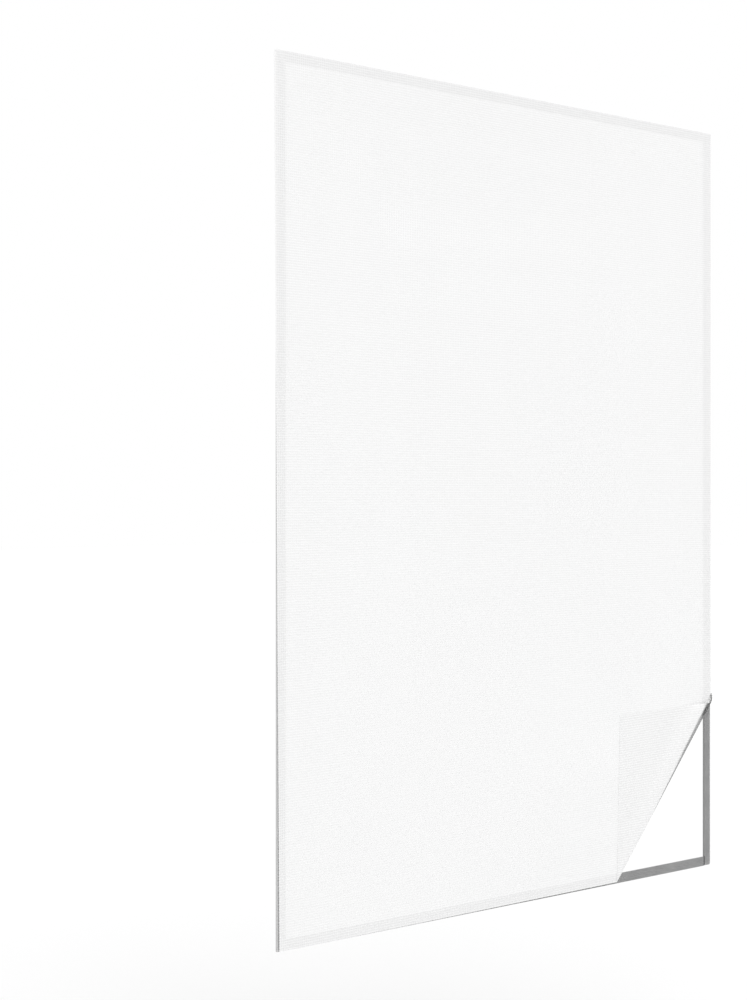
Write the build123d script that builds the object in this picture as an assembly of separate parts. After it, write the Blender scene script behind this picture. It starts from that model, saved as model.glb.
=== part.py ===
"""A stick-on pollen screen for a window, with one corner of its mesh peeled forward.

X runs to the right as seen from the room, Y runs from the room towards the window, Z is up, in millimetres.
The origin is the middle of the bottom strip's adhesive face, which lies in the plane Y = 0.
"""

import os
from math import ceil, pi, sqrt

from build123d import *

# Overall size of the strip frame
FRAME_WIDTH = 1000.0
FRAME_HEIGHT = 1300.0
STRIP_WIDTH = 16.0
BUTT_GAP = 0.3

# Foam strip with adhesive on its window side
FOAM_THICKNESS = 2.2
FOAM_SETBACK = 0.4
FOAM_EDGE_RADIUS = 0.5

# Hook tape: a thin band with rows of mushroom hooks
BAND_THICKNESS = 0.7
HOOK_ROW_PITCH = 2.7
HOOK_ROW_MARGIN = 0.4
STEM_WIDTH = 0.6
STEM_HEIGHT = 0.85
HEAD_WIDTH = 1.5
HEAD_THICKNESS = 0.45

# Mesh cloth: a thin web with upright threads on its front and level threads on its back
WEB_THICKNESS = 0.4
THREAD_PITCH = 11.25
THREAD_WIDTH = 1.0
THREAD_CREST = 0.6
THREAD_RISE = 0.2

# How the cut sheet lies on the strips, a little askew
SIDE_OVERHANG = 1.4
TOP_LEFT_OVERHANG = 6.6
BOTTOM_LEFT_INSET = 4.0
PULL_START = 330.0
PULLED_UP = 2.3

# The peeled corner
PEEL_ALONG_BOTTOM = 261.0
PEEL_UP_SIDE = 303.0
BOTTOM_CURL_REACH = 2.0
BOTTOM_CURL_LIFT = 6.0
SIDE_CURL_REACH = 8.0
SIDE_CURL_LIFT = 6.2
FLAP_CORNER_IN = 254.0
FLAP_CORNER_UP = 283.6

# Faces that the sizes above fix
HALF_WIDTH = FRAME_WIDTH / 2
FRAME_BOTTOM = -STRIP_WIDTH / 2
TAPE_BACK = -FOAM_THICKNESS
HOOK_CRESTS = TAPE_BACK - BAND_THICKNESS - STEM_HEIGHT - HEAD_THICKNESS
WEB_MIDDLE = HOOK_CRESTS - THREAD_RISE - WEB_THICKNESS / 2
LEVEL_STRIP_LENGTH = FRAME_WIDTH - 2 * STRIP_WIDTH - 2 * BUTT_GAP
FORWARD = Vector(0, -1, 0)


def web_point(x, up):
    """A point in the middle of the sheet's web, from its place across and its height over the frame's bottom."""
    return Vector(x, WEB_MIDDLE, FRAME_BOTTOM + up)


def web_point_under(point):
    """The point of the lying sheet's web straight behind a point of the lifted cloth."""
    return Vector(point.X, WEB_MIDDLE, point.Z)


# Where the sheet stops lying flat: the line from FOLD_LOW on its bottom edge to FOLD_HIGH on its side edge
SHEET_RIGHT = HALF_WIDTH + SIDE_OVERHANG
FOLD_LOW = web_point(HALF_WIDTH - PEEL_ALONG_BOTTOM, PULLED_UP)
FOLD_HIGH = web_point(SHEET_RIGHT, PEEL_UP_SIDE)
FOLD_LENGTH = (FOLD_HIGH - FOLD_LOW).length
ALONG_FOLD = (FOLD_HIGH - FOLD_LOW).normalized()
OUT_OF_FOLD = ALONG_FOLD.cross(FORWARD)


def upright(x):
    """The plane of an upright strip's section, facing up, with the strip's front towards local +Y."""
    return Plane(origin=(x, 0, FRAME_BOTTOM), x_dir=(-1, 0, 0), z_dir=(0, 0, 1))


def level(up):
    """The plane of a level strip's section, facing right, with the strip's front towards local +Y."""
    left_end = -LEVEL_STRIP_LENGTH / 2
    return Plane(origin=(left_end, 0, FRAME_BOTTOM + up), x_dir=(0, 0, 1), z_dir=(1, 0, 0))


def foam_section():
    """Section of the foam strip, with its back on local Y = 0 and softly rounded front edges."""
    width = STRIP_WIDTH - 2 * FOAM_SETBACK
    section = Pos(0, FOAM_THICKNESS / 2) * Rectangle(width, FOAM_THICKNESS)
    front_corners = section.vertices().group_by(Axis.Y)[-1]
    return fillet(front_corners, FOAM_EDGE_RADIUS)


def hook_section():
    """Section of the hook tape on the foam: a flat band with a mushroom for each row of hooks."""
    section = Pos(0, FOAM_THICKNESS + BAND_THICKNESS / 2) * Rectangle(STRIP_WIDTH, BAND_THICKNESS)
    band_front = FOAM_THICKNESS + BAND_THICKNESS
    room = STRIP_WIDTH - 2 * HOOK_ROW_MARGIN - HEAD_WIDTH
    rows = int(room / HOOK_ROW_PITCH) + 1
    for row in GridLocations(HOOK_ROW_PITCH, 0, rows, 1):
        stem = Pos(0, band_front + STEM_HEIGHT / 2) * Rectangle(STEM_WIDTH, STEM_HEIGHT)
        head = Pos(0, band_front + STEM_HEIGHT + HEAD_THICKNESS / 2) * Rectangle(HEAD_WIDTH, HEAD_THICKNESS)
        section += row * stem + row * head
    return section


def strips(section):
    """The four lengths of one strip section round the frame, by side."""
    side_middle = HALF_WIDTH - STRIP_WIDTH / 2
    top_middle = FRAME_HEIGHT - STRIP_WIDTH / 2
    return {
        "left": extrude(upright(-side_middle) * section, FRAME_HEIGHT),
        "right": extrude(upright(side_middle) * section, FRAME_HEIGHT),
        "top": extrude(level(top_middle) * section, LEVEL_STRIP_LENGTH),
        "bottom": extrude(level(STRIP_WIDTH / 2) * section, LEVEL_STRIP_LENGTH),
    }


def comb_section(span, half_web):
    """Half the web's thickness with a row of thread ridges on it, across a span centred on local X = 0."""
    threads = int(span / THREAD_PITCH)
    outline = [(-span / 2, 0), (-span / 2, half_web)]
    for thread in range(threads):
        middle = (thread - (threads - 1) / 2) * THREAD_PITCH
        outline.append((middle - THREAD_WIDTH / 2, half_web))
        outline.append((middle - THREAD_CREST / 2, half_web + THREAD_RISE))
        outline.append((middle + THREAD_CREST / 2, half_web + THREAD_RISE))
        outline.append((middle + THREAD_WIDTH / 2, half_web))
    outline += [(span / 2, half_web), (span / 2, 0)]
    return make_face(Polyline(*outline, close=True))


def ribbed_cloth(plane, width, height, web):
    """A rectangle of cloth centred on a plane: threads along local Y on its +Z face, along local X behind."""
    middle = plane.origin
    low = middle - plane.y_dir * (height / 2)
    side = middle - plane.x_dir * (width / 2)
    warp_plane = Plane(origin=low, x_dir=plane.x_dir * -1, z_dir=plane.y_dir)
    weft_plane = Plane(origin=side, x_dir=plane.y_dir * -1, z_dir=plane.x_dir)
    warp = extrude(warp_plane * comb_section(width, web / 2), height)
    weft = extrude(weft_plane * comb_section(height, web / 2), width)
    return warp, weft


def column(corners):
    """A prism through the whole cloth, front to back, over an outline of web points."""
    reach = BOTTOM_CURL_LIFT + SIDE_CURL_LIFT
    outline = make_face(Polyline(*corners, close=True))
    return extrude(outline, reach, dir=(0, -1, 0)) + extrude(outline, reach, dir=(0, 1, 0))


def lying_sheet():
    """The part of the sheet that lies on the strips, up to the line where it starts to lift."""
    top_left = web_point(-HALF_WIDTH - TOP_LEFT_OVERHANG, FRAME_HEIGHT)
    bottom_left = web_point(-HALF_WIDTH + BOTTOM_LEFT_INSET, 0)
    pull = web_point(-HALF_WIDTH + PULL_START, 0)
    top_right = web_point(SHEET_RIGHT, FRAME_HEIGHT)
    cut = column([top_left, bottom_left, pull, FOLD_LOW, FOLD_HIGH, top_right])
    plane = Plane(origin=web_point(0, FRAME_HEIGHT / 2), x_dir=(1, 0, 0), z_dir=FORWARD)
    spare = 2 * THREAD_PITCH
    warp, weft = ribbed_cloth(plane, FRAME_WIDTH + spare, FRAME_HEIGHT + spare, WEB_THICKNESS)
    return (warp & cut) + (weft & cut)


def half_turn(reach, lift):
    """Length of cloth that a half-ellipse curl takes up."""
    return pi * sqrt((reach**2 + (lift / 2) ** 2) / 2)


def curl_section(start, reach, lift):
    """The cloth's half-ellipse turn from where it leaves the sheet, square to the fold."""
    plane = Plane(origin=start + FORWARD * (lift / 2), x_dir=OUT_OF_FOLD, z_dir=ALONG_FOLD * -1)
    half_web = WEB_THICKNESS / 2
    outer = EllipticalCenterArc((0, 0), reach + half_web, lift / 2 + half_web, -90, arc_size=180)
    inner = EllipticalCenterArc((0, 0), reach - half_web, lift / 2 - half_web, -90, arc_size=180)
    return plane * make_face([outer, Line(outer @ 1, inner @ 1), inner, Line(inner @ 0, outer @ 0)])


def curl_lift(along):
    """How far the flap stands in front of the sheet, at a distance along the fold."""
    share = along / FOLD_LENGTH
    return BOTTOM_CURL_LIFT + share * (SIDE_CURL_LIFT - BOTTOM_CURL_LIFT)


def curl_and_flap():
    """The soft curl along the fold and the flat flap that it carries in front of the sheet."""
    across, up = ALONG_FOLD.X, ALONG_FOLD.Z
    low_along = half_turn(BOTTOM_CURL_REACH, BOTTOM_CURL_LIFT) * across / up
    high_along = FOLD_LENGTH - half_turn(SIDE_CURL_REACH, SIDE_CURL_LIFT) * up / across
    flap_low = FOLD_LOW + ALONG_FOLD * low_along + FORWARD * curl_lift(low_along)
    flap_high = FOLD_LOW + ALONG_FOLD * high_along + FORWARD * curl_lift(high_along)

    low_section = curl_section(FOLD_LOW, BOTTOM_CURL_REACH, BOTTOM_CURL_LIFT)
    high_section = curl_section(FOLD_HIGH, SIDE_CURL_REACH, SIDE_CURL_LIFT)
    low_slant, high_slant = flap_low - FOLD_LOW, flap_high - FOLD_HIGH
    ends = [FOLD_LOW - low_slant, FOLD_HIGH - high_slant, flap_high + high_slant, flap_low + low_slant]
    outline = make_face(Polyline(*ends, close=True))
    between = extrude(outline, BOTTOM_CURL_REACH + SIDE_CURL_REACH, both=True)
    curl = loft([low_section, high_section], ruled=True) & between

    ridge = flap_high - flap_low
    facing = ridge.cross(OUT_OF_FOLD).normalized()
    if facing.dot(FORWARD) < 0:
        facing = facing * -1
    corner = web_point(HALF_WIDTH - FLAP_CORNER_IN, FLAP_CORNER_UP)
    corner = corner + FORWARD * ((flap_low - corner).dot(facing) / FORWARD.dot(facing))
    plane = Plane(origin=(flap_low + flap_high) * 0.5, x_dir=flap_high - corner, z_dir=facing)
    size = 2 * ceil(ridge.length / THREAD_PITCH) * THREAD_PITCH
    warp, weft = ribbed_cloth(plane, size, size, WEB_THICKNESS * facing.dot(FORWARD))
    cut = column([web_point_under(point) for point in (flap_low, flap_high, corner)])
    return curl, (warp & cut) + (weft & cut)


def write(name, solid):
    """Writes one piece as a STEP file named after it."""
    export_step(solid, f"parts/{name}.step")


def main():
    """Builds every piece in its place and writes it."""
    os.makedirs("parts", exist_ok=True)
    for side, solid in strips(foam_section()).items():
        write(f"adhesive_strip_{side}", solid)
    for side, solid in strips(hook_section()).items():
        write(f"hook_tape_{side}", solid)
    curl, flap = curl_and_flap()
    write("pollen_mesh", lying_sheet() + curl + flap)


main()
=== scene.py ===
"""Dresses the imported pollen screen: a see-through mesh with a peeled corner, hook tapes and foam strips.

Everything is in metres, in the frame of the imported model: X to the right, Y to the back, Z up.
"""
import logging
import math
from dataclasses import dataclass
from enum import Enum

import bmesh
import bpy
import numpy as np
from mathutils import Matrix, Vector


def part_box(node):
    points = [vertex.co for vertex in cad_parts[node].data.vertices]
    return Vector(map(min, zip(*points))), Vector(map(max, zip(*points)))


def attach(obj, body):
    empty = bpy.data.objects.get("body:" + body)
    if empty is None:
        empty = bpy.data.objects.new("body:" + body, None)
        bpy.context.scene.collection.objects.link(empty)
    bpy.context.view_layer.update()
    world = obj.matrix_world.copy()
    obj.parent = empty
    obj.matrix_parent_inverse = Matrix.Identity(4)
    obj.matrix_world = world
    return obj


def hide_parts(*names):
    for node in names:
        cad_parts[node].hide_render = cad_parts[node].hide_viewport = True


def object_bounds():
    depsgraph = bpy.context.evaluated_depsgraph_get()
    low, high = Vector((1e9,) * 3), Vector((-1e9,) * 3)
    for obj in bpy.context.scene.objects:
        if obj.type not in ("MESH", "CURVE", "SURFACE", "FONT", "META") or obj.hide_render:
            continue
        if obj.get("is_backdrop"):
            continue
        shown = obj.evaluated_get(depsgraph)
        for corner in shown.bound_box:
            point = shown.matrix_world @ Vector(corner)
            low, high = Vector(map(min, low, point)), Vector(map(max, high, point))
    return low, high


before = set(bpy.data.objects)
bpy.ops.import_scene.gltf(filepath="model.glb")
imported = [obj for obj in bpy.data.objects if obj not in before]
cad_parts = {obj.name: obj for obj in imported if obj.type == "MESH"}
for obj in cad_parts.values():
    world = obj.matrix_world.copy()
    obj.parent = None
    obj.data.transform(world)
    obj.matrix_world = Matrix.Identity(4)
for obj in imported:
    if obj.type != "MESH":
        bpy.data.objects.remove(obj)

LOG = logging.getLogger("pollen_screen")
MM = 0.001
SQUARE = ((-1, -1), (1, -1), (1, 1), (-1, 1))


class Side(Enum):
    """The four lengths of strip round the frame."""

    LEFT = "left"
    RIGHT = "right"
    TOP = "top"
    BOTTOM = "bottom"

    @property
    def axes(self) -> tuple[int, int]:
        """The numbers of the axes along and across the strip: Z and X for an upright one."""
        return (2, 0) if self in (Side.LEFT, Side.RIGHT) else (0, 2)

    @property
    def hook_node(self) -> str:
        """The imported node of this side's hook tape."""
        return f"hook_tape_{self.value}"

    @property
    def foam_node(self) -> str:
        """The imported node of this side's foam strip."""
        return f"adhesive_strip_{self.value}"


class Thread(Enum):
    """The two directions of thread in the mesh."""

    WARP = "warp"
    WEFT = "weft"


# Shader building


class Value:
    """A number that varies over a surface. Python arithmetic on it adds Math nodes."""

    def __init__(self, bench: "Bench", socket: bpy.types.NodeSocket) -> None:
        """Wraps the output socket that carries the number, in a bench's tree."""
        self.bench = bench
        self.socket = socket

    def _math(self, operation: str, *others: "Value | float", swapped: bool = False) -> "Value":
        """Adds one Math node.

        Args:
            operation: Blender's name for the operation.
            others: The other operands.
            swapped: True when this value is the second operand.

        Returns:
            The result.
        """
        operands = [self, *others]
        if swapped:
            operands.reverse()
        node = self.bench.node("ShaderNodeMath", {"operation": operation}, dict(enumerate(operands)))
        return Value(self.bench, node.outputs[0])

    def __add__(self, other: "Value | float") -> "Value":
        """The sum."""
        return self._math("ADD", other)

    __radd__ = __add__

    def __sub__(self, other: "Value | float") -> "Value":
        """This value less another."""
        return self._math("SUBTRACT", other)

    def __rsub__(self, other: float) -> "Value":
        """Another number less this value."""
        return self._math("SUBTRACT", other, swapped=True)

    def __mul__(self, other: "Value | float") -> "Value":
        """The product."""
        return self._math("MULTIPLY", other)

    __rmul__ = __mul__

    def sine(self) -> "Value":
        """The sine of the value in radians."""
        return self._math("SINE")

    def at_most(self, other: "Value | float") -> "Value":
        """The smaller of two values."""
        return self._math("MINIMUM", other)

    def at_least(self, other: "Value | float") -> "Value":
        """The larger of two values."""
        return self._math("MAXIMUM", other)

    def size(self) -> "Value":
        """The value without its sign."""
        return self._math("ABSOLUTE")

    def step(self, low: float, high: float) -> "Value":
        """A smooth step from 0 at low to 1 at high.

        Args:
            low: Where the step starts.
            high: Where it ends.

        Returns:
            The stepped value.
        """
        inputs = {"Value": self, "From Min": low, "From Max": high}
        node = self.bench.node("ShaderNodeMapRange", {"interpolation_type": "SMOOTHSTEP"}, inputs)
        return Value(self.bench, node.outputs["Result"])


class Bench:
    """Builds one node tree, for a material or for the world."""

    def __init__(self, tree: bpy.types.NodeTree) -> None:
        """Clears the tree to build in."""
        self.tree = tree
        tree.nodes.clear()

    @classmethod
    def material(cls, name: str) -> tuple["Bench", bpy.types.Material]:
        """Starts a new material.

        Args:
            name: The material's name.

        Returns:
            The bench on its tree, and the material.
        """
        material = bpy.data.materials.new(name)
        material.use_nodes = True
        return cls(material.node_tree), material

    def node(self, kind: str, settings: dict | None = None, inputs: dict | None = None) -> bpy.types.Node:
        """Adds any node.

        Args:
            kind: Blender's node type.
            settings: The node's own settings.
            inputs: Values or links by socket name or index.

        Returns:
            The node.
        """
        node = self.tree.nodes.new(kind)
        for name, setting in (settings or {}).items():
            setattr(node, name, setting)
        for name, given in (inputs or {}).items():
            self.feed(node.inputs[name], given)
        return node

    def feed(self, socket: bpy.types.NodeSocket, given: object) -> None:
        """Links or sets one input.

        Args:
            socket: The input.
            given: A Value, an output socket, a number or a colour.
        """
        if isinstance(given, Value):
            given = given.socket
        if isinstance(given, bpy.types.NodeSocket):
            self.tree.links.new(given, socket)
        elif isinstance(given, tuple) and socket.type == "RGBA":
            socket.default_value = (*given, 1.0)
        else:
            socket.default_value = given

    def place(self) -> bpy.types.NodeSocket:
        """The point on the surface in the model's frame, in metres."""
        return self.node("ShaderNodeTexCoord").outputs["Object"]

    def cloth_place(self) -> bpy.types.NodeSocket:
        """The point on the flat cloth before it was peeled, in metres."""
        return self.node("ShaderNodeAttribute", {"attribute_name": "cloth"}).outputs["Vector"]

    def share(self, name: str) -> Value:
        """A share from 0 to 1 that a mesh carries for each point, such as the depth of the painted shade
        on the curl.
        """
        return Value(self, self.node("ShaderNodeAttribute", {"attribute_name": name}).outputs["Fac"])

    def parts_of(self, vector: bpy.types.NodeSocket) -> tuple[Value, Value, Value]:
        """The X, Y and Z of a vector's output socket."""
        split = self.node("ShaderNodeSeparateXYZ", inputs={0: vector})
        return tuple(Value(self, output) for output in split.outputs)

    def noise(self, vector: bpy.types.NodeSocket, scale: float, detail: float) -> Value:
        """Soft noise from about 0.3 to 0.7, by its features for each metre and its octaves."""
        node = self.node("ShaderNodeTexNoise", inputs={"Vector": vector, "Scale": scale, "Detail": detail})
        return Value(self, node.outputs["Fac"])

    def cells(self, vector: bpy.types.NodeSocket, scale: float) -> Value:
        """Distance to the nearest cell centre of a random pattern, by its cells for each metre."""
        node = self.node("ShaderNodeTexVoronoi", inputs={"Vector": vector, "Scale": scale})
        return Value(self, node.outputs["Distance"])

    def blend(self, share: Value, low: object, high: object) -> bpy.types.NodeSocket:
        """A colour between two, which is the low one at share 0 and the high one at share 1."""
        node = self.node("ShaderNodeMix", {"data_type": "RGBA"}, {"Factor": share, 6: low, 7: high})
        return node.outputs[2]

    def bump(self, height: Value, distance: float, strength: float) -> bpy.types.NodeSocket:
        """A normal from a height of 0 to 1, by its depth in metres and the share of it that shows."""
        inputs = {"Height": height, "Distance": distance, "Strength": strength}
        return self.node("ShaderNodeBump", inputs=inputs).outputs["Normal"]

    def surface(self, inputs: dict) -> None:
        """Ends a material in one Principled shader, given its inputs by name."""
        shader = self.node("ShaderNodeBsdfPrincipled", inputs=inputs)
        self.node("ShaderNodeOutputMaterial", inputs={"Surface": shader.outputs[0]})

    def seen(self) -> Value:
        """Tells what the camera sees, also by gloss or refraction, from what only gives light.

        Returns:
            1 for what it sees, and 0 elsewhere.
        """
        path = self.node("ShaderNodeLightPath")
        camera = Value(self, path.outputs["Is Camera Ray"])
        glossy = Value(self, path.outputs["Is Glossy Ray"])
        through = Value(self, path.outputs["Is Transmission Ray"])
        return camera.at_least(glossy).at_least(through)


# Finishes


Colour = tuple[float, float, float]


def grey(tone: float) -> Colour:
    """A neutral colour of one tone."""
    return tone, tone, tone


@dataclass(frozen=True)
class GauzeFinish:
    """The thin white gauze between the drawn threads."""

    colour: Colour = grey(0.92)
    dense_colour: Colour = (0.904, 0.904, 0.906)
    # Painted light: the flap's doubled cloth is painted a little lighter, to offset the shade between its
    # two layers.
    lap_painted_light: Colour = grey(0.925)
    # Painted shade: the dark tone painted on the curl's turned part, which turns away from the light.
    curl_shade_colour: Colour = grey(0.03)
    density_scale: float = 160.0
    density_step: tuple[float, float] = (0.35, 0.65)
    cover: float = 0.893
    cover_spread: float = 0.02
    # How much thinner the gauze is made where shade is painted on the curl.
    curl_shade_thinness: float = 0.32
    roughness: float = 0.75
    roughness_spread: float = 0.2
    weave_pitch: float = 1.25 * MM
    weave_depth: float = 0.12 * MM
    weave_strength: float = 0.5
    sheen: float = 0.08
    specular: float = 0.3

    def build(self) -> bpy.types.Material:
        """Builds the gauze's material.

        Returns:
            The material.
        """
        bench, material = Bench.material("white_gauze")
        place = bench.cloth_place()
        across, _, up = bench.parts_of(place)
        curl_shade = bench.share("curl_shade")
        density = bench.noise(place, self.density_scale, 3.0)
        turns = 2 * math.pi / self.weave_pitch
        weave = (across * turns).sine() * (up * turns).sine() * 0.5 + 0.5
        single = bench.blend(density.step(*self.density_step), self.colour, self.dense_colour)
        # Painted light on the flap's doubled cloth.
        white = bench.blend(bench.share("lap"), single, self.lap_painted_light)
        bench.surface({
            # Painted shade on the curl's turned part.
            "Base Color": bench.blend(curl_shade, white, self.curl_shade_colour),
            "Roughness": self.roughness + (density - 0.5) * self.roughness_spread,
            # The gauze is made thinner where shade is painted on the curl.
            "Alpha": self.cover + (density - 0.5) * self.cover_spread - curl_shade * self.curl_shade_thinness,
            "Normal": bench.bump(weave, self.weave_depth, self.weave_strength),
            "Sheen Weight": self.sheen,
            "Specular IOR Level": self.specular,
        })
        return material


@dataclass(frozen=True)
class ThreadFinish:
    """The smooth white polyester threads of one direction."""

    name: str
    colour: Colour
    bright_colour: Colour
    # Painted shade: the dark tone painted on the threads on the curl's turned part, which turns away from
    # the light.
    curl_shade_colour: Colour = grey(0.04)
    strand_scale: float = 700.0
    lot_scale: float = 14.0
    strand_share: float = 0.6
    bright_step: tuple[float, float] = (0.38, 0.62)
    roughness: float = 0.5
    roughness_spread: float = 0.15
    strand_depth: float = 0.05 * MM
    strand_strength: float = 0.6
    sheen: float = 0.05
    specular: float = 0.4

    def build(self) -> bpy.types.Material:
        """Builds the threads' material.

        Returns:
            The material.
        """
        bench, material = Bench.material(self.name)
        place = bench.place()
        strand = bench.noise(place, self.strand_scale, 1.0)
        lot = bench.noise(place, self.lot_scale, 2.0)
        mixed = strand * self.strand_share + lot * (1 - self.strand_share)
        white = bench.blend(mixed.step(*self.bright_step), self.colour, self.bright_colour)
        bench.surface({
            # Painted shade on the curl's turned part.
            "Base Color": bench.blend(bench.share("curl_shade"), white, self.curl_shade_colour),
            "Roughness": self.roughness + strand * self.roughness_spread,
            "Normal": bench.bump(strand, self.strand_depth, self.strand_strength),
            "Sheen Weight": self.sheen,
            "Specular IOR Level": self.specular,
        })
        return material


THREAD_FINISHES = {
    Thread.WARP: ThreadFinish("bright_warp_thread", grey(0.952), grey(0.966)),
    Thread.WEFT: ThreadFinish("soft_weft_thread", grey(0.907), grey(0.922)),
}


@dataclass(frozen=True)
class HookNylonFinish:
    """The matt grey nylon of the hook tape, with painted shade at the seams and on the level strips, and
    painted light along the left edge.
    """

    colour: Colour = (0.37, 0.37, 0.373)
    worn_colour: Colour = grey(0.435)
    grain_scale: float = 900.0
    patch_scale: float = 22.0
    worn_step: tuple[float, float] = (0.4, 0.62)
    # Painted shade: the dark tone painted in the butt joints and along the uprights' inner edges, where
    # shade falls; the level strips get a little of it too.
    painted_shade_colour: Colour = grey(0.11)
    seam_across: float = 484.0 * MM
    seam_width: float = 1.4 * MM
    seam_low: float = 8.0 * MM
    seam_high: float = 1276.0 * MM
    seam_faint: float = 0.28
    # Painted shade: how much darker the level strips are painted, as the light falls differently on their
    # hook rows.
    level_painted_shade: float = 0.1
    level_end: float = 0.3 * MM
    # Painted light: the outer edge of the left tape is painted paler, where it catches the light from the
    # left.
    painted_light_edge: Colour = grey(0.68)
    edge_from: float = -495.5 * MM
    edge_to: float = -499.3 * MM
    roughness: float = 0.6
    roughness_spread: float = 0.3
    grain_depth: float = 0.08 * MM
    grain_strength: float = 0.6
    sheen: float = 0.1
    specular: float = 0.4

    def build(self) -> bpy.types.Material:
        """Builds the hook tape's material.

        Returns:
            The material.
        """
        bench, material = Bench.material("grey_hook_nylon")
        place = bench.place()
        across, _, up = bench.parts_of(place)
        grain = bench.noise(place, self.grain_scale, 2.0)
        patch = bench.noise(place, self.patch_scale, 3.0)
        worn = (grain * 0.5 + patch * 0.5).step(*self.worn_step)
        nylon = bench.blend(worn, self.colour, self.worn_colour)
        from_middle = across.size()
        at_bottom = 1 - up.step(self.seam_low, self.seam_low + MM)
        at_top = up.step(self.seam_high - MM, self.seam_high)
        at_level_strip = at_bottom + at_top
        between = 1 - from_middle.step(self.seam_across, self.seam_across + self.level_end)
        # Painted shade on the level strips.
        shaded = bench.blend(at_level_strip * between * self.level_painted_shade, nylon, self.painted_shade_colour)
        # Painted light along the left tape's outer edge.
        edged = bench.blend(across.step(self.edge_from, self.edge_to), shaded, self.painted_light_edge)
        from_seam = (from_middle - self.seam_across).size()
        near_seam = 1 - from_seam.step(self.seam_width / 2, self.seam_width)
        # Painted shade in the butt joints, and fainter along the inner edges.
        seam_shade = near_seam * (at_level_strip * (1 - self.seam_faint) + self.seam_faint)
        bench.surface({
            "Base Color": bench.blend(seam_shade, edged, self.painted_shade_colour),
            "Roughness": self.roughness + (patch - 0.5) * self.roughness_spread,
            "Normal": bench.bump(grain, self.grain_depth, self.grain_strength),
            "Sheen Weight": self.sheen,
            "Specular IOR Level": self.specular,
        })
        return material


@dataclass(frozen=True)
class FoamFinish:
    """The closed-cell foam under the hook tape: grey, with painted light along its outer edge on the left.
    """

    colour: Colour = grey(0.29)
    # Painted light: the left strip's outer edge is painted paler, where it catches the light from the
    # left.
    painted_light_colour: Colour = grey(0.58)
    edge_at: float = -494.0 * MM
    edge_width: float = 3.0 * MM
    pore_scale: float = 1600.0
    pore_step: tuple[float, float] = (0.15, 0.45)
    pore_share: float = 0.22
    pore_colour: Colour = grey(0.2)
    pore_depth: float = 0.15 * MM
    pore_strength: float = 0.7
    soft_scale: float = 60.0
    soft_spread: float = 0.8
    roughness: float = 0.9
    roughness_drop: float = 0.1
    specular: float = 0.25

    def build(self) -> bpy.types.Material:
        """Builds the foam's material.

        Returns:
            The material.
        """
        bench, material = Bench.material("pale_foam")
        place = bench.place()
        across, _, _ = bench.parts_of(place)
        pores = bench.cells(place, self.pore_scale)
        soft = bench.noise(place, self.soft_scale, 2.0)
        open_pores = 1 - pores.step(*self.pore_step)
        at_edge = across.step(self.edge_at, self.edge_at - self.edge_width)
        # Painted light along the left strip's outer edge.
        foam = bench.blend(at_edge, self.colour, self.painted_light_colour)
        share = (open_pores + (soft - 0.5) * self.soft_spread) * self.pore_share
        bench.surface({
            "Base Color": bench.blend(share.at_least(0.0).at_most(1.0), foam, self.pore_colour),
            "Roughness": self.roughness - open_pores * self.roughness_drop,
            "Normal": bench.bump(pores, self.pore_depth, self.pore_strength),
            "Specular IOR Level": self.specular,
        })
        return material


@dataclass(frozen=True)
class StageFinish:
    """The plain pale floor, white to the camera but for the object's shadow."""

    pale: Colour = grey(0.62)
    white: Colour = grey(0.9)
    black: Colour = grey(0.0)
    lift: Colour = grey(0.03)
    roughness: float = 0.95

    def build(self) -> bpy.types.Material:
        """Builds the floor's material.

        Returns:
            The material.
        """
        bench, material = Bench.material("stage_floor")
        seen = bench.seen()
        bench.surface({
            "Base Color": bench.blend(seen, self.pale, self.white),
            "Emission Color": bench.blend(seen, self.black, self.lift),
            "Emission Strength": 1.0,
            "Roughness": self.roughness,
            "Specular IOR Level": 0.0,
        })
        return material


# Meshes


def new_piece(
    name: str,
    points: np.ndarray,
    faces: np.ndarray | list,
    material: bpy.types.Material,
    smooth: bool = False,
) -> bpy.types.Object:
    """Makes a mesh object at the origin.

    Args:
        name: The object's name.
        points: Vertex positions, one row each.
        faces: Vertex numbers, one row for each face.
        material: Its material.
        smooth: Whether its faces are shaded smooth.

    Returns:
        The object.
    """
    mesh = bpy.data.meshes.new(name)
    rows = faces.tolist() if isinstance(faces, np.ndarray) else faces
    mesh.from_pydata(points.tolist(), [], rows)
    mesh.materials.append(material)
    mesh.polygons.foreach_set("use_smooth", [smooth] * len(mesh.polygons))
    piece = bpy.data.objects.new(name, mesh)
    bpy.context.scene.collection.objects.link(piece)
    return piece


def tube_faces(rings: int, corners: int, first: int = 0) -> np.ndarray:
    """The walls of a tube whose points lie ring after ring.

    Args:
        rings: How many rings it has.
        corners: Points in each ring.
        first: The number of its first point.

    Returns:
        Rows of four point numbers.
    """
    base = first + np.arange(rings - 1)[:, None] * corners
    walls = []
    for corner in range(corners):
        follow = (corner + 1) % corners
        walls.append(base + (corner, follow, follow + corners, corner + corners))
    return np.concatenate(walls)


def triangles(piece: bpy.types.Object) -> int:
    """How many triangles a piece's mesh has."""
    piece.data.calc_loop_triangles()
    return len(piece.data.loop_triangles)


# The mesh sheet


def ramp(
    value: np.ndarray | float, start: np.ndarray | float, span: np.ndarray | float
) -> np.ndarray | float:
    """A straight rise from 0 at start to 1 a span further on."""
    return np.clip((value - start) / span, 0.0, 1.0)


def eased(share: np.ndarray) -> np.ndarray:
    """A share from 0 to 1 with a soft start and a soft end."""
    return share * share * (3 - 2 * share)


@dataclass(frozen=True)
class Ripple:
    """One soft wave over cloth: its turns along two directions, its start and its height."""

    first: float
    second: float
    start: float
    height: float

    def at(self, first: np.ndarray, second: np.ndarray) -> np.ndarray:
        """The wave's height at places along the two directions."""
        return self.height * np.sin(first * self.first + second * self.second + self.start)


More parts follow.
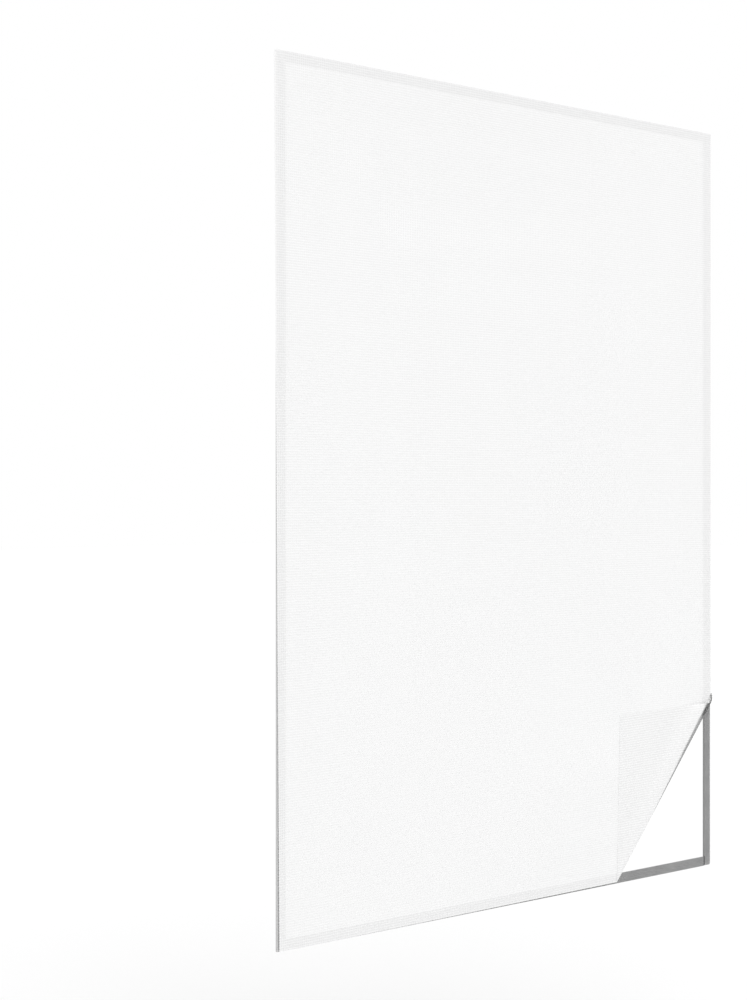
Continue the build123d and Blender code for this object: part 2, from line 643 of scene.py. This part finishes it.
@dataclass(frozen=True)
class PaintedCurlShade:
    """How deep the shade painted on the curl's turned part is, by shares along the fold and of the curl's
    half turn.
    """

    along_from: float = 0.33
    along_rise: float = 0.125
    turn_from: float = 0.50
    turn_rise: float = 0.12
    turn_fall: float = 0.08
    narrowest: float = 0.62
    widening: float = 0.62
    widening_power: float = 0.42
    pale_depth: float = 0.60
    deep_from: float = 0.91
    deep_rise: float = 0.03
    side_from: float = 0.965
    side_rise: float = 0.02

    def depth(self, share: np.ndarray, turn: np.ndarray) -> np.ndarray:
        """How deep the painted shade is: wide at the curl's upper end, and nothing at its tight end.

        Args:
            share: Shares along the fold.
            turn: Shares of the half turn.

        Returns:
            Depths from 0 to 1.
        """
        wide = ramp(share, self.along_from, 1 - self.along_from)
        last = self.narrowest + self.widening * wide**self.widening_power
        first = self.turn_from * (1 - ramp(share, self.side_from, self.side_rise))
        rise = ramp(turn, first, self.turn_rise)
        fall = ramp(last - turn, 0.0, self.turn_fall)
        deep = self.pale_depth + (1 - self.pale_depth) * ramp(share, self.deep_from, self.deep_rise)
        return ramp(wide, 0.0, self.along_rise) * deep * rise * fall


@dataclass(frozen=True)
class PeelShape:
    """How the cut sheet lies, and how its lower right corner curls and folds forward.

    Cloth places are (across, up): across from the screen's middle, up from the frame's bottom.
    """

    web_plane: float = -4.6 * MM
    frame_bottom: float = -8.0 * MM
    height: float = 1.3
    left_top: float = -506.6 * MM
    left_low: float = -496.6 * MM
    right: float = 501.4 * MM
    pull_start: float = -430.0 * MM
    pulled_up: float = 2.3 * MM
    fold_low: float = 245.3 * MM
    fold_high: float = 306.2 * MM
    low_reach: float = 0.4 * MM
    low_lift: float = 0.6 * MM
    high_reach: float = 8.0 * MM
    high_lift: float = 6.2 * MM
    over_run: float = 0.02
    least_span: float = 1.0 * MM
    corner_across: float = 255.0 * MM
    corner_up: float = 283.6 * MM
    settle: float = 45.0 * MM
    low_settle: float = 10.0 * MM
    settle_share: float = 0.3
    touch: float = 0.32 * MM
    flap_waves: tuple[Ripple, ...] = (Ripple(9.0, 0.0, 0.6, 0.06 * MM), Ripple(0.0, 7.0, 2.0, 0.06 * MM))
    lap_rise: float = 0.3
    held_side: float = 483.0 * MM
    held_low: float = 17.0 * MM
    held_high: float = 1283.0 * MM
    free_inside: float = 300.0 * MM
    free_from_fold: float = 150.0 * MM
    slack_waves: tuple[Ripple, ...] = (Ripple(5.0, 1.8, 0.0, 0.5 * MM), Ripple(-2.0, 6.0, 1.0, 0.25 * MM))
    probe: float = 0.15 * MM

    def low_end(self) -> np.ndarray:
        """The fold's end on the bottom edge."""
        return np.array([self.fold_low, self.bottom(self.fold_low)])

    def high_end(self) -> np.ndarray:
        """The fold's end on the right edge."""
        return np.array([self.right, self.fold_high])

    def fold_length(self) -> float:
        """The fold's length."""
        return float(np.linalg.norm(self.high_end() - self.low_end()))

    def along(self) -> np.ndarray:
        """The fold's direction, upwards to the right."""
        return (self.high_end() - self.low_end()) / self.fold_length()

    def outward(self) -> np.ndarray:
        """Square to the fold, towards the peeled corner."""
        along = self.along()
        return np.array([along[1], -along[0]])

    def low_turn(self) -> float:
        """Cloth taken up by the curl's lower end."""
        return math.pi * math.sqrt((self.low_reach**2 + (self.low_lift / 2) ** 2) / 2)

    def high_turn(self) -> float:
        """Cloth taken up by the curl's upper end."""
        return math.pi * math.sqrt((self.high_reach**2 + (self.high_lift / 2) ** 2) / 2)

    def along_bottom(self, out: float) -> np.ndarray:
        """The place on the cloth's bottom edge that lies a distance beyond the fold."""
        along = self.along()
        return self.low_end() + self.outward() * out + along * (out * along[0] / along[1])

    def along_side(self, out: float) -> np.ndarray:
        """The place on the cloth's right edge that lies a distance beyond the fold."""
        along = self.along()
        return self.high_end() + self.outward() * out - along * (out * along[1] / along[0])

    def bottom(self, across: np.ndarray | float) -> np.ndarray | float:
        """The height of the sheet's bottom edge, pulled up a little towards the peeled corner."""
        return self.pulled_up * ramp(across, self.pull_start, self.fold_low - self.pull_start)

    def left(self, up: np.ndarray | float) -> np.ndarray | float:
        """The place of the sheet's left edge at a height."""
        return self.left_low + (self.left_top - self.left_low) * up / self.height

    def lying(self, s: np.ndarray, t: np.ndarray) -> np.ndarray:
        """Cloth places from shares of the sheet's width and height.

        Args:
            s: Shares of the width, 0 at the left edge.
            t: Shares of the height, 0 at the bottom edge.

        Returns:
            Rows of (across, up).
        """
        up = t * self.height
        left = self.left(up)
        across = left + (self.right - left) * s
        low = self.bottom(across)
        return np.stack([across, low + (self.height - low) * t], axis=-1)

    def beyond_fold(self, cloth: np.ndarray) -> np.ndarray:
        """How far cloth places lie beyond the fold, towards the corner."""
        return (cloth - self.low_end()) @ self.outward()

    def turn_share(self, cloth: np.ndarray) -> tuple[np.ndarray, np.ndarray]:
        """Where cloth places lie in the curl.

        Args:
            cloth: Rows of (across, up).

        Returns:
            Shares along the fold, and shares of the half turn, which pass 1 on the flap.
        """
        along = self.along()
        out = self.beyond_fold(cloth)
        run = (cloth - self.low_end()) @ along
        start = out * along[0] / along[1]
        end = self.fold_length() - out * along[1] / along[0]
        span = np.maximum(end - start, self.least_span)
        share = np.clip((run - start) / span, -self.over_run, 1 + self.over_run)
        turn = out / (self.low_turn() + (self.high_turn() - self.low_turn()) * share)
        return share, turn

    def curled(self, share: np.ndarray, angle: np.ndarray) -> np.ndarray:
        """Points of the curl.

        Args:
            share: Shares along the fold.
            angle: Angles round the half ellipse, in radians.

        Returns:
            Rows of X, Y, Z.
        """
        along, outward = self.along(), self.outward()
        part = ((1 - np.cos(angle)) / 2)[..., None]
        swing = np.sin(angle)[..., None]
        low = self.low_end() + along * (self.low_turn() * along[0] / along[1]) * part
        low = low + outward * self.low_reach * swing
        high = self.high_end() - along * (self.high_turn() * along[1] / along[0]) * part
        high = high + outward * self.high_reach * swing
        flat = low + (high - low) * share[..., None]
        lift = part[..., 0] * (self.low_lift + (self.high_lift - self.low_lift) * share)
        return np.stack([flat[..., 0], self.web_plane - lift, self.frame_bottom + flat[..., 1]], axis=-1)

    def flap_corners(self) -> tuple[np.ndarray, np.ndarray]:
        """The flap's three corners: low end, high end and tip.

        Returns:
            Their places on the flat cloth, and in space.
        """
        flat = np.array([
            self.along_bottom(self.low_turn()),
            self.along_side(self.high_turn()),
            [self.right, self.pulled_up],
        ])
        low, high = self.curled(np.array([0.0, 1.0]), np.full(2, math.pi))
        ridge = high - low
        tip = np.array([self.corner_across, 0.0, self.frame_bottom + self.corner_up])
        to_tip = (tip - low)[[0, 2]]
        share = to_tip @ ridge[[0, 2]] / (ridge[[0, 2]] @ ridge[[0, 2]])
        tip[1] = low[1] + share * ridge[1]
        return flat, np.array([low, high, tip])

    def folded(self, cloth: np.ndarray) -> np.ndarray:
        """Points of the flap, which comes down from the curl and then lies on the sheet.

        Args:
            cloth: Rows of (across, up) beyond the curl.

        Returns:
            Rows of X, Y, Z.
        """
        flat, space = self.flap_corners()
        frame_flat = np.stack([flat[1] - flat[0], flat[2] - flat[0]], axis=1)
        weights = np.linalg.solve(frame_flat, (cloth - flat[0]).T).T
        points = space[0] + weights[:, :1] * (space[1] - space[0]) + weights[:, 1:] * (space[2] - space[0])
        ridge = (space[1] - space[0])[[0, 2]]
        from_low = points[:, [0, 2]] - space[0][[0, 2]]
        share = from_low @ ridge / (ridge @ ridge)
        away = from_low @ np.array([-ridge[1], ridge[0]]) / np.linalg.norm(ridge)
        reach = self.low_settle + (self.settle - self.low_settle) * ramp(share, 0.0, self.settle_share)
        settled = eased(ramp(away, 0.0, reach))
        wave = sum(ripple.at(weights[:, 0], weights[:, 1]) for ripple in self.flap_waves)
        lift = self.web_plane - points[:, 1]
        lift = lift + (self.touch + wave - lift) * settled
        under = np.stack([points[:, 0], points[:, 2] - self.frame_bottom], axis=-1)
        points[:, 1] = self.web_plane + self.slack(under) * settled - lift
        return points

    def lap(self, cloth: np.ndarray) -> np.ndarray:
        """1 for the cloth of the flap, which lies double and is painted a little lighter, and 0 elsewhere.
        """
        _, turn = self.turn_share(cloth)
        return ramp(turn, 1.0, self.lap_rise) * (self.beyond_fold(cloth) > 0)

    def curl_shade(self, cloth: np.ndarray) -> np.ndarray:
        """How deep the shade painted on the fold's curl is, from 0 to 1."""
        return PaintedCurlShade().depth(*self.turn_share(cloth)) * (self.beyond_fold(cloth) > 0)

    def slack(self, cloth: np.ndarray) -> np.ndarray:
        """How far the lying sheet stands back or forward between the strips.

        Args:
            cloth: Rows of (across, up).

        Returns:
            Distances, positive to the back.
        """
        across, up = cloth[:, 0], cloth[:, 1]
        from_side = self.held_side - np.abs(across)
        from_level = np.minimum(up - self.held_low, self.held_high - up)
        inside = eased(ramp(np.minimum(from_side, from_level), 0.0, self.free_inside))
        from_fold = eased(ramp(-self.beyond_fold(cloth), 0.0, self.free_from_fold))
        return inside * from_fold * sum(ripple.at(across, up) for ripple in self.slack_waves)

    def place(self, cloth: np.ndarray) -> np.ndarray:
        """Points in space of cloth places.

        Args:
            cloth: Rows of (across, up).

        Returns:
            Rows of X, Y, Z.
        """
        depth = self.web_plane + self.slack(cloth)
        points = np.stack([cloth[:, 0], depth, self.frame_bottom + cloth[:, 1]], axis=-1)
        share, turn = self.turn_share(cloth)
        out = self.beyond_fold(cloth)
        curling = (out > 0) & (turn < 1)
        points[curling] = self.curled(share[curling], turn[curling] * math.pi)
        past = (out > 0) & (turn >= 1)
        if past.any():
            points[past] = self.folded(cloth[past])
        return points

    def facing(self, cloth: np.ndarray) -> np.ndarray:
        """Which way the placed cloth faces.

        Args:
            cloth: Rows of (across, up).

        Returns:
            Unit normals, which point to the front where the sheet lies flat.
        """
        across = np.array([self.probe, 0.0])
        up = np.array([0.0, self.probe])
        across_run = self.place(cloth + across) - self.place(cloth - across)
        up_run = self.place(cloth + up) - self.place(cloth - up)
        normal = np.cross(across_run, up_run)
        return normal / np.linalg.norm(normal, axis=1, keepdims=True)


@dataclass
class MeshSheet:
    """The white mesh: its gauze and its two sets of threads."""

    shape: PeelShape
    cells_across: int = 80
    cells_up: int = 104
    curl_cuts: int = 18
    curl_stations: int = 20
    settle_cuts: tuple[float, ...] = (4 * MM, 9 * MM, 15 * MM, 22 * MM, 30 * MM, 38 * MM, 47 * MM)
    thread_pitch: float = 3.69 * MM
    thread_width: float = 0.9 * MM
    thread_depth: float = 0.20 * MM
    stand_off: float = 0.05 * MM
    lying_step: float = 90 * MM
    fray: float = 0.8 * MM
    fray_share: tuple[float, float] = (0.1, 1.0)
    seed: int = 11

    def build(self) -> None:
        gauze = self.gauze()
        threads = [self.threads(kind) for kind in Thread]
        for piece in (gauze, *threads):
            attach(piece, "root")
            LOG.info("%s: %d triangles", piece.name, triangles(piece))
        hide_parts("pollen_mesh")

    def gauze(self) -> bpy.types.Object:
        """Makes the gauze as one thin surface, cut finely where it curls.

        Returns:
            The piece.
        """
        columns = np.linspace(0, 1, self.cells_across + 1)
        s, t = np.meshgrid(columns, np.linspace(0, 1, self.cells_up + 1), indexing="ij")
        cloth = self.shape.lying(s.ravel(), t.ravel())
        number = np.arange(s.size).reshape(s.shape)
        faces = np.stack([number[:-1, :-1], number[1:, :-1], number[1:, 1:], number[:-1, 1:]], axis=-1)
        flat = np.stack([cloth[:, 0], np.zeros(len(cloth)), cloth[:, 1]], axis=-1)
        piece = new_piece("mesh_gauze", flat, faces.reshape(-1, 4), GauzeFinish().build(), smooth=True)
        self.cut_curl(piece.data)
        self.fold(piece.data)
        return piece

    def cut_curl(self, mesh: bpy.types.Mesh) -> None:
        """Cuts the flat cloth along lines of equal turn, so that it bends smoothly there.

        Args:
            mesh: The gauze, still flat.
        """
        shape = self.shape
        work = bmesh.new()
        work.from_mesh(mesh)
        parts = np.linspace(0, 1, self.curl_cuts + 1)
        outs = [(shape.low_turn() * part, shape.high_turn() * part) for part in parts]
        outs += [(shape.low_turn() + past, shape.high_turn() + past) for past in self.settle_cuts]
        for low_out, high_out in outs:
            low, high = shape.along_bottom(low_out), shape.along_side(high_out)
            run = (high - low) / np.linalg.norm(high - low)
            bmesh.ops.bisect_plane(
                work,
                geom=work.verts[:] + work.edges[:] + work.faces[:],
                plane_co=Vector((low[0], 0, low[1])),
                plane_no=Vector((run[1], 0, -run[0])),
            )
        work.to_mesh(mesh)
        work.free()

    def fold(self, mesh: bpy.types.Mesh) -> None:
        """Keeps each point's place on the flat cloth for the finish, and moves it to its place in space.

        Args:
            mesh: The gauze, still flat.
        """
        flat = np.empty(len(mesh.vertices) * 3)
        mesh.vertices.foreach_get("co", flat)
        mesh.attributes.new("cloth", "FLOAT_VECTOR", "POINT").data.foreach_set("vector", flat)
        cloth = flat.reshape(-1, 3)[:, [0, 2]]
        # The depth of the shade painted on the curl, for the finish.
        mesh.attributes.new("curl_shade", "FLOAT", "POINT").data.foreach_set("value", self.shape.curl_shade(cloth))
        # Where the flap lies double, for its painted light.
        mesh.attributes.new("lap", "FLOAT", "POINT").data.foreach_set("value", self.shape.lap(cloth))
        mesh.vertices.foreach_set("co", self.shape.place(cloth).ravel())
        mesh.update()

    def stations(self, line: np.ndarray) -> np.ndarray:
        """Shares of a thread's length where it gets a point: few where it lies, many where it curls.

        Args:
            line: The thread's two ends as cloth places.

        Returns:
            Sorted shares from 0 to 1.
        """
        length = float(np.linalg.norm(line[1] - line[0]))
        shares = list(np.linspace(0, 1, max(2, round(length / self.lying_step)) + 1))
        out = self.shape.beyond_fold(line)
        turn = self.shape.high_turn()
        pasts = [*np.linspace(0.0, turn, self.curl_stations), *(turn + cut for cut in self.settle_cuts)]
        for past in pasts:
            share = (past - out[0]) / (out[1] - out[0])
            if 0 < share < 1:
                shares.append(share)
        return np.unique(np.round(shares, 6))

    def lines(self, kind: Thread) -> list[np.ndarray]:
        """Lays out every thread of one direction, frayed a little past the cut edge.

        Args:
            kind: The direction.

        Returns:
            The two ends of each thread, as cloth places.
        """
        rng = np.random.default_rng(self.seed + list(Thread).index(kind))
        span = self.shape.right - self.shape.left_top if kind is Thread.WARP else self.shape.height
        count = int(span / self.thread_pitch)
        lines = []
        for number in range(count):
            share = (number + 0.5) / count
            held, whole = np.array([share, share]), np.array([0.0, 1.0])
            ends = self.shape.lying(held, whole) if kind is Thread.WARP else self.shape.lying(whole, held)
            way = (ends[1] - ends[0]) / np.linalg.norm(ends[1] - ends[0])
            ends[0] -= way * self.fray * rng.uniform(*self.fray_share)
            ends[1] += way * self.fray * rng.uniform(*self.fray_share)
            lines.append(ends)
        return lines

    def threads(self, kind: Thread) -> bpy.types.Object:
        """All the threads of one direction as one piece.

        Args:
            kind: The direction.

        Returns:
            The piece.
        """
        side = -1.0 if kind is Thread.WARP else 1.0
        points, faces, shade, count = [], [], [], 0
        for line in self.lines(kind):
            shares = self.stations(line)
            cloth = line[0] + (line[1] - line[0]) * shares[:, None]
            middle = self.shape.place(cloth)
            normal = self.shape.facing(cloth)
            run = np.gradient(middle, axis=0)
            lateral = np.cross(run, normal)
            lateral /= np.linalg.norm(lateral, axis=1, keepdims=True)
            middle = middle + normal * (side * self.stand_off)
            wide, deep = lateral * self.thread_width / 2, normal * self.thread_depth / 2
            ring = [middle + wide, middle + deep, middle - wide, middle - deep]
            points.append(np.stack(ring, axis=1).reshape(-1, 3))
            # The depth of the shade painted on the curl, at each point of the thread.
            shade.append(np.repeat(self.shape.curl_shade(cloth), len(ring)))
            faces.append(tube_faces(len(middle), len(ring), count))
            count += len(middle) * len(ring)
        piece = new_piece(
            f"mesh_{kind.value}_threads",
            np.concatenate(points),
            np.concatenate(faces),
            THREAD_FINISHES[kind].build(),
        )
        # Stores the painted shade's depth for the finish.
        curl_shade = piece.data.attributes.new("curl_shade", "FLOAT", "POINT")
        curl_shade.data.foreach_set("value", np.concatenate(shade))
        return piece


# The strips


@dataclass
class HookTape:
    """One length of hook tape: a thin band with rows of small mushroom hooks."""

    side: Side
    finish: bpy.types.Material
    band_thickness: float = 0.7 * MM
    edge_round: float = 0.15 * MM
    row_pitch: float = 2.55 * MM
    rows: int = 5
    hook_pitch: float = 2.0 * MM
    edge_row: float = 7.75 * MM
    edge_pitch: float = 0.95 * MM
    edge_scale: float = 0.64
    stem_width: float = 0.8 * MM
    stem_taper: float = 0.8
    head_width: float = 1.65 * MM
    head_depth: float = 0.55 * MM
    rim_lift: float = 0.1 * MM
    crown_share: float = 0.55
    crown_drop: float = 0.05 * MM
    bare_end: float = 1.6 * MM
    band_steps: int = 40
    along_spread: float = 0.04 * MM
    row_spread: float = 0.03 * MM
    most_spin: float = 0.25
    lean_spread: float = 0.05
    seed: int = 11

    def build(self) -> None:
        """Builds the band and its hooks."""
        low, high = (np.array(corner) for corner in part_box(self.side.hook_node))
        band = self.band(low, high)
        hooks = self.hooks(low, high)
        for piece in (band, hooks):
            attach(piece, "root")
            LOG.info("%s: %d triangles", piece.name, triangles(piece))
        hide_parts(self.side.hook_node)

    def band(self, low: np.ndarray, high: np.ndarray) -> bpy.types.Object:
        """The flat band, with softened edges.

        Args:
            low: The tape's lowest corner.
            high: The tape's highest corner.

        Returns:
            The piece.
        """
        lengthwise, crosswise = self.side.axes
        back, front = high[1], high[1] - self.band_thickness
        soft = self.edge_round
        left, right = low[crosswise], high[crosswise]
        outline = [
            (left, back), (left, front + soft), (left + soft, front),
            (right - soft, front), (right, front + soft), (right, back),
        ]
        steps = np.linspace(low[lengthwise], high[lengthwise], self.band_steps + 1)
        points = np.zeros((len(steps), len(outline), 3))
        points[:, :, lengthwise] = steps[:, None]
        points[:, :, crosswise] = [corner[0] for corner in outline]
        points[:, :, 1] = [corner[1] for corner in outline]
        corners = range(len(outline))
        last = self.band_steps * len(outline)
        faces = tube_faces(len(steps), len(outline)).tolist()
        faces += [list(reversed(corners)), [last + corner for corner in corners]]
        piece = new_piece(f"hook_tape_{self.side.value}_band", points.reshape(-1, 3), faces, self.finish)
        outward_faces(piece.data)
        return piece

    def hook_shape(self, height: float) -> tuple[np.ndarray, np.ndarray]:
        """One mushroom hook on the band, pointing along +Z of its own frame.

        Args:
            height: From the band to the crest.

        Returns:
            Its points, and its faces as rows of three.
        """
        foot = self.stem_width / 2
        neck = foot * self.stem_taper
        rim = self.head_width / 2
        crown = rim * self.crown_share
        under = height - self.head_depth
        sixths = [math.pi / 3 * corner for corner in range(6)]
        ring = [(math.cos(turn), math.sin(turn)) for turn in sixths]
        points = [(x * foot, y * foot, 0.0) for x, y in SQUARE]
        points += [(x * neck, y * neck, under) for x, y in SQUARE]
        points += [(x * rim, y * rim, under + self.rim_lift) for x, y in ring]
        points += [(x * crown, y * crown, height - self.crown_drop) for x, y in ring]
        points += [(0.0, 0.0, height), (0.0, 0.0, under)]
        rim_at, crown_at, crest_at, middle_at = 8, 14, 20, 21
        faces = []
        for corner in range(4):
            follow = (corner + 1) % 4
            faces += [(corner, follow, follow + 4), (corner, follow + 4, corner + 4)]
        for corner in range(6):
            follow = (corner + 1) % 6
            faces += [
                (rim_at + corner, rim_at + follow, crown_at + follow),
                (rim_at + corner, crown_at + follow, crown_at + corner),
                (crown_at + corner, crown_at + follow, crest_at),
                (rim_at + follow, rim_at + corner, middle_at),
            ]
        return np.array(points), np.array(faces)

    def hook_places(self, length: float) -> tuple[np.ndarray, np.ndarray, np.ndarray]:
        """Where the hooks stand, in staggered rows with a finer row along each edge.

        Args:
            length: The length of tape that carries hooks.

        Returns:
            Each hook's place along the tape and across it, and its width as a share of a full one.
        """
        middle_rows = (np.arange(self.rows) - (self.rows - 1) / 2) * self.row_pitch
        along, across, scale = [], [], []
        rows = [(row, self.hook_pitch, 1.0) for row in middle_rows]
        rows += [(side * self.edge_row, self.edge_pitch, self.edge_scale) for side in (-1, 1)]
        for number, (row, pitch, width) in enumerate(rows):
            count = int(length / pitch)
            along.append((np.arange(count) - (count - 1) / 2 + (number % 2) / 2 - 0.25) * pitch)
            across.append(np.full(count, row))
            scale.append(np.full(count, width))
        return np.concatenate(along), np.concatenate(across), np.concatenate(scale)

    def hooks(self, low: np.ndarray, high: np.ndarray) -> bpy.types.Object:
        """All the hooks of this tape as one piece.

        Args:
            low: The tape's lowest corner.
            high: The tape's highest corner.

        Returns:
            The piece.
        """
        rng = np.random.default_rng(self.seed + list(Side).index(self.side))
        lengthwise, crosswise = self.side.axes
        crest, front = low[1], high[1] - self.band_thickness
        one, faces = self.hook_shape(front - crest)
        middle = (low + high) / 2
        along, row, scale = self.hook_places(high[lengthwise] - low[lengthwise] - 2 * self.bare_end)
        along = along + rng.normal(0, self.along_spread, along.size)
        row = row + rng.normal(0, self.row_spread, row.size)
        spin = rng.uniform(-self.most_spin, self.most_spin, along.size)
        lean = rng.normal(0, self.lean_spread, (along.size, 2)) * scale[:, None]
        cosine, sine = np.cos(spin)[:, None] * scale[:, None], np.sin(spin)[:, None] * scale[:, None]
        x = one[:, 0] * cosine - one[:, 1] * sine + one[:, 2] * lean[:, :1]
        y = one[:, 0] * sine + one[:, 1] * cosine + one[:, 2] * lean[:, 1:]
        points = np.zeros((along.size, len(one), 3))
        points[:, :, lengthwise] = middle[lengthwise] + along[:, None] + x
        points[:, :, crosswise] = middle[crosswise] + row[:, None] + y
        points[:, :, 1] = front - one[:, 2]
        numbers = faces[None] + (np.arange(along.size) * len(one))[:, None, None]
        name = f"hook_tape_{self.side.value}_hooks"
        piece = new_piece(name, points.reshape(-1, 3), numbers.reshape(-1, 3), self.finish)
        outward_faces(piece.data)
        return piece


def outward_faces(mesh: bpy.types.Mesh) -> None:
    """Turns a mesh's faces so that they look outwards.

    Args:
        mesh: The mesh.
    """
    work = bmesh.new()
    work.from_mesh(mesh)
    bmesh.ops.recalc_face_normals(work, faces=work.faces[:])
    work.to_mesh(mesh)
    work.free()


class StripFrame:
    """The frame of strips: hook tape on foam, round the four sides."""

    def build(self) -> None:
        """Builds the tapes and finishes the foam."""
        nylon = HookNylonFinish().build()
        foam = FoamFinish().build()
        for side in Side:
            HookTape(side, nylon).build()
            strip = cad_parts[side.foam_node]
            for slot in strip.material_slots:
                slot.material = foam
            LOG.info("%s: foam finish", strip.name)


# The studio


@dataclass
class Studio:
    """The camera, the soft light and the plain floor."""

    camera_place: tuple[float, float, float] = (-2.324, -2.2013, 0.6535)
    look: tuple[float, float, float] = (0.67528, 0.73756, 0.0)
    sensor: float = 36.0
    lens: float = 71.34
    shift_up: float = -0.0072
    far_clip: float = 200.0
    floor_drop: float = 0.42
    floor_size: float = 60.0
    sky: Colour = grey(0.92)
    backdrop: Colour = grey(1.0)
    key_strength: float = 1.0
    key_spread: float = math.radians(60)
    key_from: tuple[float, float, float] = (-0.55, -1.0, 0.9)

    def build(self) -> None:
        """Sets up everything round the object."""
        self.camera()
        self.world()
        self.key_light()
        self.floor()
        bpy.context.scene.view_settings.view_transform = "Standard"

    def camera(self) -> None:
        """The camera at the viewing angle."""
        data = bpy.data.cameras.new("camera")
        data.sensor_fit = "VERTICAL"
        data.sensor_height = self.sensor
        data.lens = self.lens
        data.shift_y = self.shift_up
        data.clip_end = self.far_clip
        camera = bpy.data.objects.new("camera", data)
        camera.location = self.camera_place
        camera.rotation_euler = Vector(self.look).to_track_quat("-Z", "Y").to_euler()
        bpy.context.scene.collection.objects.link(camera)
        bpy.context.scene.camera = camera

    def world(self) -> None:
        """Even light from all round, and a white background for the camera."""
        world = bpy.data.worlds.new("studio")
        world.use_nodes = True
        bpy.context.scene.world = world
        bench = Bench(world.node_tree)
        colour = bench.blend(bench.seen(), self.sky, self.backdrop)
        background = bench.node("ShaderNodeBackground", inputs={"Color": colour, "Strength": 1.0})
        bench.node("ShaderNodeOutputWorld", inputs={"Surface": background.outputs[0]})

    def key_light(self) -> None:
        """A very soft lamp from the upper left, in front."""
        data = bpy.data.lights.new("key", "SUN")
        data.energy = self.key_strength
        data.angle = self.key_spread
        lamp = bpy.data.objects.new("key", data)
        lamp.rotation_euler = Vector(self.key_from).to_track_quat("Z", "Y").to_euler()
        bpy.context.scene.collection.objects.link(lamp)

    def floor(self) -> None:
        """The floor, well below the screen."""
        low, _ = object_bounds()
        level = low[2] - self.floor_drop
        half = self.floor_size / 2
        corners = np.array([(x * half, y * half, level) for x, y in SQUARE])
        floor = new_piece("floor", corners, [(0, 1, 2, 3)], StageFinish().build())
        floor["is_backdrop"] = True


def main() -> None:
    """Builds the studio, the strips and the mesh sheet."""
    logging.basicConfig(level=logging.INFO, format="%(name)s: %(message)s")
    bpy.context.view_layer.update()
    Studio().build()
    StripFrame().build()
    MeshSheet(PeelShape()).build()


if __name__ == "__main__":
    main()
